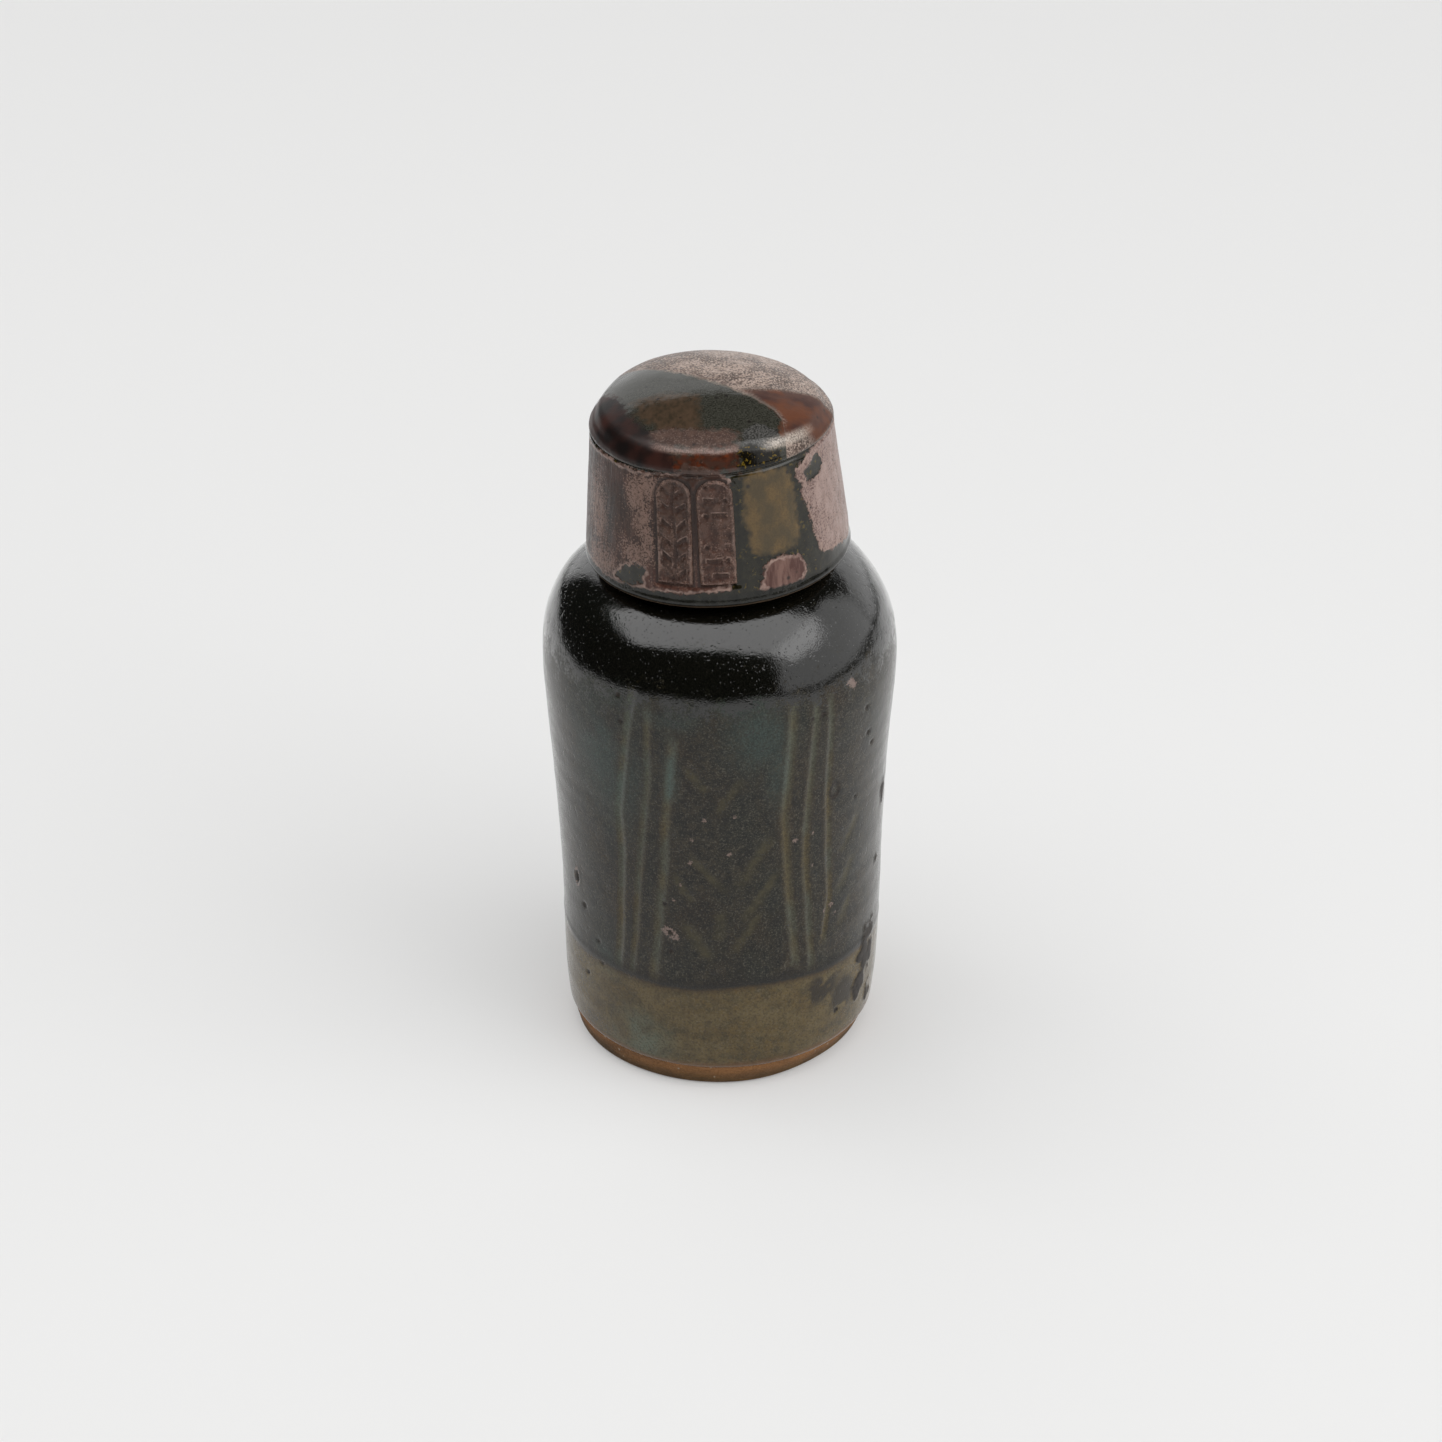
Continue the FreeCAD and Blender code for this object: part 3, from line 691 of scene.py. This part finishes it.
class Paint:
    """A principled material whose nodes are added one call at a time.

    Sizes are in millimetres; colours are linear red, green and blue in thousandths.
    """

    def __init__(self, name, **plain):
        self.material = bpy.data.materials.new(name)
        self.material.use_nodes = True
        self.nodes = self.material.node_tree.nodes
        self.links = self.material.node_tree.links
        self.shader = self.nodes["Principled BSDF"]
        for key, value in plain.items():
            self.shader.inputs[key.replace("_", " ")].default_value = value
        self.place = self.nodes.new("ShaderNodeTexCoord").outputs["Object"]

    def plug(self, socket, value):
        """Links a node's output or the mask of a name, or sets a plain number or colour."""
        if isinstance(value, str):
            value = self.mask(value)
        if isinstance(value, bpy.types.NodeSocket):
            self.links.new(value, socket)
        elif isinstance(value, tuple):
            is_colour = len(socket.default_value) == 4
            socket.default_value = (*(share / 1000 for share in value), 1) if is_colour else value
        else:
            socket.default_value = value

    def node(self, kind, out, settings=None, **values):
        """Adds a node with its settings and inputs, and returns one of its outputs."""
        node = self.nodes.new("ShaderNode" + kind)
        for key, value in (settings or {}).items():
            setattr(node, key, value)
        for key, value in values.items():
            self.plug(node.inputs[key.replace("_", " ")], value)
        return node.outputs[out]

    def mask(self, name):
        return self.node("Attribute", "Fac", {"attribute_name": name})

    def range(self, value, low, high, new_low=0, new_high=1):
        return self.node("MapRange", "Result", Value=value, From_Min=low, From_Max=high,
                         To_Min=new_low, To_Max=new_high)

    def noise(self, size, low=None, high=None, detail=2, scale=1, lift=0):
        """Noise of a feature size, spread from 0 at low to 1 at high when they are given.

        scale multiplies the heights, or x, y and height.
        """
        scale = scale if isinstance(scale, tuple) else (1, 1, scale)
        place = self.node("Mapping", "Vector", Vector=self.place, Scale=scale, Location=(lift,) * 3)
        out = self.node("TexNoise", "Fac", Vector=place, Scale=1 / (size * MM), Detail=detail)
        return out if low is None else self.range(out, low, high)

    def spots(self, size, radius):
        """Round dots of a share of their cell, 1 in the middle."""
        cells = self.node("TexVoronoi", "Distance", Vector=self.place, Scale=1 / (size * MM))
        return self.range(cells, radius, radius * 0.4)

    def math(self, operation, a, b=0):
        node = self.nodes.new("ShaderNodeMath")
        node.operation = operation
        node.use_clamp = operation not in ("SUBTRACT", "ADD")
        self.plug(node.inputs[0], a)
        self.plug(node.inputs[1], b)
        return node.outputs[0]

    def area(self, name, soft=0.15, ragged=0, size=0.8, shift=0):
        """1 inside an area stored as a distance in mm, across a soft edge that noise makes ragged."""
        value = self.plus(name, self.jitter(ragged, size, 2)) if ragged else name
        return self.range(value, shift - soft, shift + soft)

    def jitter(self, amount, size, detail=3, lift=0):
        """Noise from -amount to amount."""
        return self.range(self.noise(size, detail=detail, lift=lift), 0.3, 0.7, -amount, amount)

    def spread(self, value, low, high):
        """A number from low to high as the value goes from 0 to 1."""
        return self.range(value, 0, 1, low, high)

    def times(self, a, b):
        return self.math("MULTIPLY", a, b)

    def plus(self, a, b):
        return self.math("ADD", a, b)

    def most(self, a, b):
        return self.math("MAXIMUM", a, b)

    def tint(self, base, colour, *factors):
        """The base colour with another laid over it, as strongly as the product of the factors."""
        factor = factors[0]
        for other in factors[1:]:
            factor = self.times(factor, other)
        return self.mix(factor, base, colour)

    def layers(self, base, table):
        """Several tints, one over the other."""
        for colour, *factors in table:
            base = self.tint(base, colour, *factors)
        return base

    def mix(self, factor, a, b, data_type="RGBA"):
        return self.node("Mix", "Result", {"data_type": data_type}, Factor=factor, A=a, B=b)

    def blend(self, factor, a, b):
        """Between two numbers or number sockets."""
        return self.mix(factor, a, b, "FLOAT")

    def bump(self, height, depth, below=None):
        """A bump of a depth in mm for heights from 0 to 1, over the bump below it."""
        under = {} if below is None else {"Normal": below}
        return self.node("Bump", "Normal", Distance=depth * MM, Height=height, **under)

    def finish(self, colour, roughness, normal, coat=None):
        self.plug(self.shader.inputs["Base Color"], colour)
        self.plug(self.shader.inputs["Roughness"], roughness)
        self.links.new(normal, self.shader.inputs["Normal"])
        if coat is not None:
            self.plug(self.shader.inputs["Coat Weight"], coat)
            self.links.new(normal, self.shader.inputs["Coat Normal"])
        return self.material


def wall_glaze():
    """The bottle's outer glaze: black shoulder, brown wall with teal and lines, olive band."""
    p = Paint("ash_glaze", IOR=1.37, Coat_Roughness=0.1, Coat_IOR=1.5)
    fine = p.noise(0.42, 0.34, 0.66)
    coarse = p.noise(2.2, 0.35, 0.65, 3)
    drift = p.noise(15, 0.38, 0.62, 2, 0.5)
    speckle = p.jitter(0.3, 0.6)
    ragged = p.jitter(0.3, 3, 3, 2)
    gloss = p.range(p.plus("gloss", p.plus(speckle, ragged)), 0.3, 0.7)
    wall = p.layers(p.mix(coarse, (5.5, 4.2, 1.7), (34, 27, 15)), (
        (p.mix(fine, (6, 8, 5), (20, 24, 17)), drift, 0.6),
        ((26, 15, 5), p.noise(10, 0.45, 0.65, 2, 0.7, 11), 0.5),
        ((4, 3.6, 1.8), p.noise(3.5, 0.52, 0.68, 3, 0.8, 17), 0.72),
        ((105, 94, 72), p.range(fine, 0.6, 1), 0.55),
        ((3, 3, 2), p.noise(0.8, 0.5, 0.62, 1, lift=3), 0.55),
        ((57, 47, 20), "chevron", p.spread(coarse, 0.35, 0.8)),
        ((36, 58, 50), "teal", p.spread(fine, 0.3, 0.9))))
    line = p.mix(p.noise(8, 0.42, 0.58, 1, 0.6, 7), (98, 74, 29), (82, 86, 58))
    line = p.tint(line, (80, 118, 100), "teal")
    seam = p.range("ash", -3.6, -0.6)
    wall = p.layers(wall, (
        ((45, 28, 12), p.area("lines", 0.9, 0.3, 1.6, -1), 0.25),
        (line, p.area("lines", 0.75, 0.35, 0.9), p.spread(fine, 0.45, 1)),
        (p.mix(fine, (1.2, 1.4, 0.6), (4.5, 4.2, 2.8)), gloss),
        ((8.5, 7, 6.2), seam, 0.7)))
    ash = p.layers(p.mix(coarse, (108, 70, 20), (58, 44, 17)), (
        ((128, 94, 38), p.noise(8, 0.4, 0.7, 3, (0.6, 0.6, 1.6), 1)),
        ((104, 130, 95), "teal", 0.85),
        ((165, 130, 80), p.range(fine, 0.5, 1), 0.5),
        ((52, 36, 14), p.noise(4, 0.5, 0.66, 3, 0.8, 35), 0.4),
        ((30, 20, 8), p.noise(0.6, 0.5, 0.64, 1, lift=6), 0.5),
        ((22, 16, 9), "smudge", 0.95),
        ((135, 62, 24), "hem", 0.8),
        ((42, 24, 9), p.range("ash", 1.8, 0.2), 0.75)))
    dark = p.area("dark", 0.15, 0.2, 0.6)
    colour = p.layers(p.mix(p.area("ash", 0.5, 0.2, 0.7), wall, ash), (
        ((240, 170, 145), p.area("pale", 0.2, 0.35, 0.5, 0.05), 0.8),
        (p.mix(fine, (6, 5, 4), (35, 25, 18)), dark),
        ((100, 50, 22), "rim", 0.7)))
    roughness = p.blend(gloss, p.spread(coarse, 0.11, 0.19), 0.13)
    roughness = p.blend(p.times(dark, 0.8), roughness, 0.55)
    coat = p.times(p.blend(gloss, 0.15, 1), p.spread(p.area("dark", 0.2, 0.1, 0.6), 1, 0.1))
    normal = p.bump(p.noise(5), 0.1)
    normal = p.bump(p.range(p.noise(1.3), 0.25, 0.4), 0.04, normal)
    normal = p.bump(p.noise(0.42), 0.03, normal)
    normal = p.bump(p.math("SUBTRACT", 1, p.spots(1.1, 0.16)), 0.045, normal)
    return p.finish(colour, roughness, normal, coat)


def liner_glaze(name, base, light, rim):
    p = Paint(name, IOR=1.45)
    coarse = p.noise(4, 0.35, 0.65, 3)
    colour = p.tint(p.mix(coarse, base, light), rim, "rim")
    return p.finish(colour, p.spread(coarse, 0.16, 0.3), p.bump(p.noise(0.9, detail=3), 0.04))


def foot_clay(name, light, deep):
    p = Paint(name, IOR=1.3)
    grain = p.noise(0.5, 0.35, 0.65, 3)
    band = p.noise(3, 0.35, 0.65, 3, 3)
    colour = p.layers(p.mix(band, light, deep), (
        ((310, 145, 54), "toast"),
        ((60, 36, 20), "scorch", 0.35),
        ((210, 125, 72), "under"),
        ((50, 30, 17), grain, 0.3),
        ((400, 330, 250), p.spots(3.4, 0.12))))
    normal = p.bump(grain, 0.05, p.bump(band, 0.1))
    return p.finish(colour, p.spread(grain, 0.62, 0.8), normal)


def slip_coat():
    p = Paint("iron_slip")
    grain = p.noise(0.6, 0.35, 0.65, 3)
    return p.finish(p.mix(grain, (10, 8, 7), (22, 16, 12)), 0.7, p.bump(grain, 0.03))


def pink_glaze(p, fine, coarse):
    """Mauve glaze with a granular pale bloom where it crawled thick; also used on the stamped pads."""
    streak = p.noise(1.5, 0.38, 0.62, 2, 0.22, 2)
    broad = p.noise(5.5, 0.38, 0.62, 3, 0.7, 5)
    pink = p.layers(p.mix(streak, (34, 15.5, 10), (84, 43, 30)), (
        ((28, 16, 12), broad, 0.45),
        ((70, 27, 18), p.noise(9, 0.5, 0.65, 2, 0.8, 8), 0.6),
        (p.mix(coarse, (60, 20, 13), (130, 58, 42)), "red", 0.8)))
    bloom = p.plus("frost", p.range(broad, 1, 0, -0.02, 0.24))
    grain = p.plus(p.noise(0.45, detail=3, lift=4), p.spread(bloom, -0.15, 0.14))
    grain = p.range(grain, 0.5, 0.6)
    pink = p.layers(pink, (
        ((320, 200, 155), grain, 0.6),
        ((22, 11, 8), p.noise(0.9, 0.54, 0.66, 2, 0.6, 31), 0.5)))
    return p.mix(p.times("groove", 0.8), pink, (22, 12, 9)), streak, grain


def cap_glaze():
    """Dark green-black glaze with olive pools, under mauve-pink areas that crawled back from it."""
    p = Paint("mottled_glaze", IOR=1.36, Coat_Roughness=0.07, Coat_IOR=1.5)
    fine = p.noise(0.4, 0.36, 0.64, 2)
    coarse = p.noise(1.5, 0.36, 0.64, 3)
    broad = p.noise(7, 0.38, 0.62, 2)
    pink, streak, grain = pink_glaze(p, fine, coarse)
    green = p.layers(p.mix(coarse, (6, 5, 2), (17, 15, 7)), (
        ((70, 50, 10), p.noise(1.1, 0.62, 0.72, 2, lift=21)),
        (p.mix(fine, (18, 18, 13), (46, 45, 36)), "dome")))
    olive = p.mix(p.noise(3.2, 0.36, 0.62, 3, 0.6, 14), (132, 80, 26), (72, 50, 21))
    olive = p.tint(olive, (36, 25, 12), fine, 0.35)
    brown = p.mix(p.noise(1.5, 0.36, 0.64, 2, (1, 0.6, 1), 2), (36, 26, 16), (66, 42, 26))
    rose = p.mix(coarse, (42, 20, 14), (75, 40, 28))
    rose = p.tint(rose, (220, 155, 125), p.range(fine, 0.6, 1), 0.35)
    murky = p.mix(broad, (7, 4, 3.5), (40, 13, 9))
    rusty = p.layers(p.mix(p.noise(4, 0.35, 0.65, 3, (0.6, 1, 1), 3), (42, 13, 8), (80, 33, 21)), (
        ((30, 12, 8), p.noise(2, 0.5, 0.7, 2, (0.3, 1, 1), 13), 0.4),
        ((125, 36, 10), p.noise(6, 0.48, 0.64, 2, lift=33), 0.7)))
    # grey satin glaze, partly a painted reflection of the softbox
    satin = p.mix(fine, (22, 21, 19), (95, 92, 86))
    band = p.mix(coarse, (30, 10, 6), (105, 24, 8))
    band = p.mix(p.noise(2.2, 0.4, 0.62, 3, (0.6, 0.6, 1.3), 6), band, (55, 26, 18))
    flecks = p.mix(p.noise(0.9, 0.56, 0.66, 2, lift=5), (5, 4, 2), (130, 85, 10))
    dark_area = p.area("dark", 0.7, 0.7, 1.5)
    glassy = p.layers(green, (
        (olive, p.area("olive", 0.8, 0.8, 1.6)),
        (brown, p.area("brown", 1.1, 0.9, 1.8)),
        (rose, p.area("front", 0.9, 0.8, 1.6)),
        (murky, dark_area),
        (rusty, p.area("rust", 0.6, 0.5, 1.4)),
        (satin, p.area("satin", 0.3, 0.5, 1)),
        (band, p.area("orange", 0.8, 1.3, 1.8)),
        (flecks, p.area("black", 0.3, 0.4, 0.9))))
    low = p.mix(streak, (95, 38, 30), (220, 120, 96))
    side = p.layers(p.mix(p.noise(1.8, 0.38, 0.62, 3, 0.3, 15), (120, 62, 50), (300, 205, 180)), (
        ((105, 50, 40), p.noise(4.5, 0.48, 0.62, 3, 0.7, 19), 0.65),
        ((480, 360, 320), grain, 0.5)))
    pink_area = p.area("pink", 0.2, 0.6, 1.1)
    pink = p.layers(pink, (
        (low, p.area("low", 0.3), 0.75),
        (side, "side", 0.8),
        ((35, 28, 25), "streak", 0.4)))
    covered = p.mix(pink_area, glassy, pink)
    frosted = p.plus(p.noise(0.5, detail=3, lift=4), p.spread(broad, -0.05, 0.08))
    matte = p.layers(p.mix(coarse, (45, 26, 19), (115, 78, 60)), (
        ((385, 295, 245), p.range(frosted, 0.44, 0.58)),
        ((66, 41, 32), p.noise(2, 0.5, 0.68, 3, lift=9), 0.45),
        (p.mix(coarse, (60, 32, 24), (125, 78, 62)), p.range("matte", 3.5, 0.3), 0.3)))
    matte_area = p.area("matte", 0.5, 0.5, 1.2)
    rim_line = p.times(p.range(p.math("ABSOLUTE", "matte"), 0.5, 0.15), "dome")
    wander = p.plus("pink", p.jitter(0.5, 1.6, 3, 3))
    edge = p.range(p.math("ABSOLUTE", p.math("SUBTRACT", wander, 0.5)), 0.6, 0.15)
    edge = p.times(p.times(edge, pink_area), p.range("dome", 1, 0, 0.1, 1))
    rim = p.area("rim", 0.35, 0.5, 1.5)
    colour = p.mix(p.times(matte_area, p.range("rust", -1.2, 1.5, 1, 0)), covered, matte)
    colour = p.layers(colour, (
        ((170, 140, 115), rim_line, 0.45),
        ((360, 250, 210), edge, p.spread(coarse, 0.25, 0.85)),
        # painted highlight along the front ridge
        ((300, 190, 155), "ridge", p.spread(fine, 0.4, 1)),
        # painted highlight with pale frost on the right ridge
        ((550, 470, 400), "glare", p.spread(fine, 0.25, 0.9)),
        (p.mix(streak, (5, 5, 3.5), (15, 14.5, 11)), rim),
        ((10, 8, 7), p.spots(5.2, 0.13), 0.8)))
    dull = p.most(p.times(pink_area, p.range("dome", 1, 0, 0.3, 1)), matte_area)
    dull = p.times(dull, p.range("rust", -1.2, 1.5, 1, 0.15))
    coat = p.blend(p.most(dull, p.times(rim, 0.7)), 0.32, 0.15)
    rust_area, front_area = p.area("rust", 0.5), p.area("front", 0.5, 0.5, 1.2)
    quiet = p.most(p.most(rust_area, p.area("black", 0.5)), dark_area)
    coat = p.blend(front_area, p.blend(quiet, coat, 0.04), 0.04)
    roughness = p.blend(dull, 0.14, p.spread(coarse, 0.34, 0.48))
    roughness = p.blend(p.most(front_area, rust_area), roughness, 0.5)
    roughness = p.blend(dark_area, roughness, 0.38)
    normal = p.bump(p.noise(2.4), 0.05)
    normal = p.bump(p.times(streak, pink_area), 0.05, normal)
    normal = p.bump(p.times(p.noise(0.45, detail=3, lift=4), p.spread(dull, 0.25, 1)), 0.06, normal)
    return p.finish(colour, roughness, normal, coat)


def panel_glaze(name, tone):
    """The cap's pink glaze on a stamped pad, dark in the strokes."""
    p = Paint(name, IOR=1.36)
    fine = p.noise(0.4, 0.36, 0.64, 2)
    coarse = p.noise(1.4, 0.36, 0.64, 3)
    pink, _, grain = pink_glaze(p, fine, coarse)
    colour = p.layers(p.mix(p.spread(coarse, 0.1, 0.5), pink, tone), (
        ((32, 15, 11), p.noise(2.4, 0.5, 0.64, 3, 0.8, 27), 0.6),
        ((26, 12, 9), "sunk", p.spread(coarse, 0.3, 0.75)),
        ((360, 255, 215), p.range("frost", 0.35, 0.9), p.spread(coarse, 0, 0.8))))
    normal = p.bump(grain, 0.08, p.bump(coarse, 0.16))
    return p.finish(colour, p.spread(coarse, 0.3, 0.45), normal)


def dress(piece, material, body, slot_name, *nodes):
    """Gives a piece its material and body, and hides the CAD nodes that it stands for; slot_name is not used.
    """
    piece.data.materials.append(material)
    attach(piece, body)
    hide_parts(*nodes)


clay = foot_clay("body_clay", (150, 80, 29), (100, 56, 22))
dress(bottle_clay_skin(), clay, "bottle", "body_clay", "bottle_clay")
dress(bottle_slip_skin(), slip_coat(), "bottle", "iron_slip", "bottle_slip")
dress(bottle_outer(), wall_glaze(), "bottle", "ash_glaze", "bottle_glaze")
liner = liner_glaze("inner_glaze", (10, 7, 4), (30, 20, 11), (100, 50, 22))
dress(bottle_inside(), liner, "bottle", "inner_glaze", "bottle_liner")

cap_clay = foot_clay("cap_body_clay", (60, 36, 19), (36, 23, 13))
dress(cap_clay_skin(), cap_clay, "cap", "cap_body_clay", "cap_clay")
dress(cap_outer(), cap_glaze(), "cap", "mottled_glaze", "cap_glaze")
cap_liner = liner_glaze("cap_inner_glaze", (14, 10, 6), (50, 32, 18), (90, 45, 22))
dress(cap_inside(), cap_liner, "cap", "cap_inner_glaze", "cap_liner")
for side, strokes, seed, tone in (("left", strokes_left, 91, (130, 85, 66)),
                                  ("right", strokes_right, 101, (140, 88, 70))):
    node, slot_name = "cap_panel_" + side, "panel_clay_" + side
    pad = cap_panel(node + "_pad", PANELS[node], strokes, seed)
    dress(pad, panel_glaze(slot_name, tone), "cap", slot_name, node)


# ---------------- floor, lights and camera

def stage_sheet(name, corners, material, faces=((0, 1, 2, 3),)):
    mesh = bpy.data.meshes.new(name)
    mesh.from_pydata(corners, [], faces)
    mesh.materials.append(material)
    sheet = bpy.data.objects.new(name, mesh)
    bpy.context.scene.collection.objects.link(sheet)
    return sheet


def seen_only_by(sheet, kind):
    """Leaves a stage sheet visible to one kind of ray, camera or glossy."""
    for other in ("camera", "diffuse", "glossy", "transmission", "volume_scatter", "shadow"):
        setattr(sheet, "visible_" + other, other == kind)


def plain(name, colour, glow_colour, glow):
    """A matt surface that also glows, for the stage."""
    return Paint(name, Base_Color=(*colour, 1), Roughness=1, Specular_IOR_Level=0,
                 Emission_Color=(*glow_colour, 1), Emission_Strength=glow).material


def softbox(name, centre, target, width, height, radiance):
    """A rectangular area light of a known radiance that faces target."""
    light = bpy.data.lights.new(name, "AREA")
    light.shape = "RECTANGLE"
    light.size, light.size_y = width, height
    light.energy = radiance * PI * width * height
    lamp = bpy.data.objects.new(name, light)
    bpy.context.scene.collection.objects.link(lamp)
    lamp.location = centre
    lamp.rotation_euler = (Vector(target) - Vector(centre)).to_track_quat("-Z", "Y").to_euler()
    lamp.visible_camera = False
    return lamp


FLOOR_HALF, PAPER_LEFT, PAPER_RIGHT, PAPER_Z = 3, -0.66, 0.92, 0.0003
BACKDROP_R, BACKDROP_TOP, BACKDROP_SIDES = 2.9, 5, 64
FLOOR_COLOUR = (0.54, 0.539, 0.536)


def rectangle(left, right, z):
    return [(left, -FLOOR_HALF, z), (right, -FLOOR_HALF, z), (right, FLOOR_HALF, z), (left, FLOOR_HALF, z)]


white = plain("floor", FLOOR_COLOUR, FLOOR_COLOUR, 0.45)
floor = stage_sheet("floor", rectangle(-FLOOR_HALF, FLOOR_HALF, 0), white)
floor.visible_glossy = False

# The paper that the glaze reflects is a strip, with the dark studio on each side of it.
seen_only_by(stage_sheet("paper", rectangle(PAPER_LEFT, PAPER_RIGHT, PAPER_Z), white), "glossy")

turns = [2 * PI * k / BACKDROP_SIDES for k in range(BACKDROP_SIDES)]
ring = [(BACKDROP_R * math.cos(a), BACKDROP_R * math.sin(a), z) for z in (-0.01, BACKDROP_TOP) for a in turns]
pairs = [(k, (k + 1) % BACKDROP_SIDES) for k in range(BACKDROP_SIDES)]
sides = [(a, b, BACKDROP_SIDES + b, BACKDROP_SIDES + a) for a, b in pairs]
grey = plain("backdrop", (0, 0, 0), (0.68, 0.678, 0.674), 1)
seen_only_by(stage_sheet("backdrop", ring, grey, sides), "camera")

scene = bpy.context.scene
scene.view_settings.view_transform = "Standard"
scene.view_settings.look = "None"

world = bpy.data.worlds.new("studio")
world.use_nodes = True
world.node_tree.nodes["Background"].inputs["Color"].default_value = (0.02, 0.02, 0.02, 1)
world.node_tree.nodes["Background"].inputs["Strength"].default_value = 1
scene.world = world

top = softbox("top_softbox", (0.9, -0.9, 2.5), (0.9, -0.9, 0), 7.3, 2.6, 2.05)
top.rotation_euler.z = math.radians(-15)
softbox("right_softbox", (2.6, -0.8, 1.5), (0, -0.8, 1.5), 4.6, 2.9, 0.95)
softbox("back_screen", (1.35, 2.85, 1.15), (1.35, 0, 1.15), 6.4, 2.3, 0.85)
for lamp in (softbox("front_fill", (1.3, -2.2, 2), (0.1, 0, 0.1), 2.4, 2, 0.75),
             softbox("back_fill", (-1.5, 1.4, 2.2), (-0.4, 0.4, 0), 2.4, 2.4, 0.75)):
    lamp.visible_glossy = False

camera = bpy.data.cameras.new("camera")
camera.lens = 109.63
camera.sensor_width = 36
view = bpy.data.objects.new("camera", camera)
scene.collection.objects.link(view)
view.location = (0.00036, -0.94288, 0.65154)
view.rotation_euler = (math.radians(90 - 31), 0, 0)
scene.camera = view
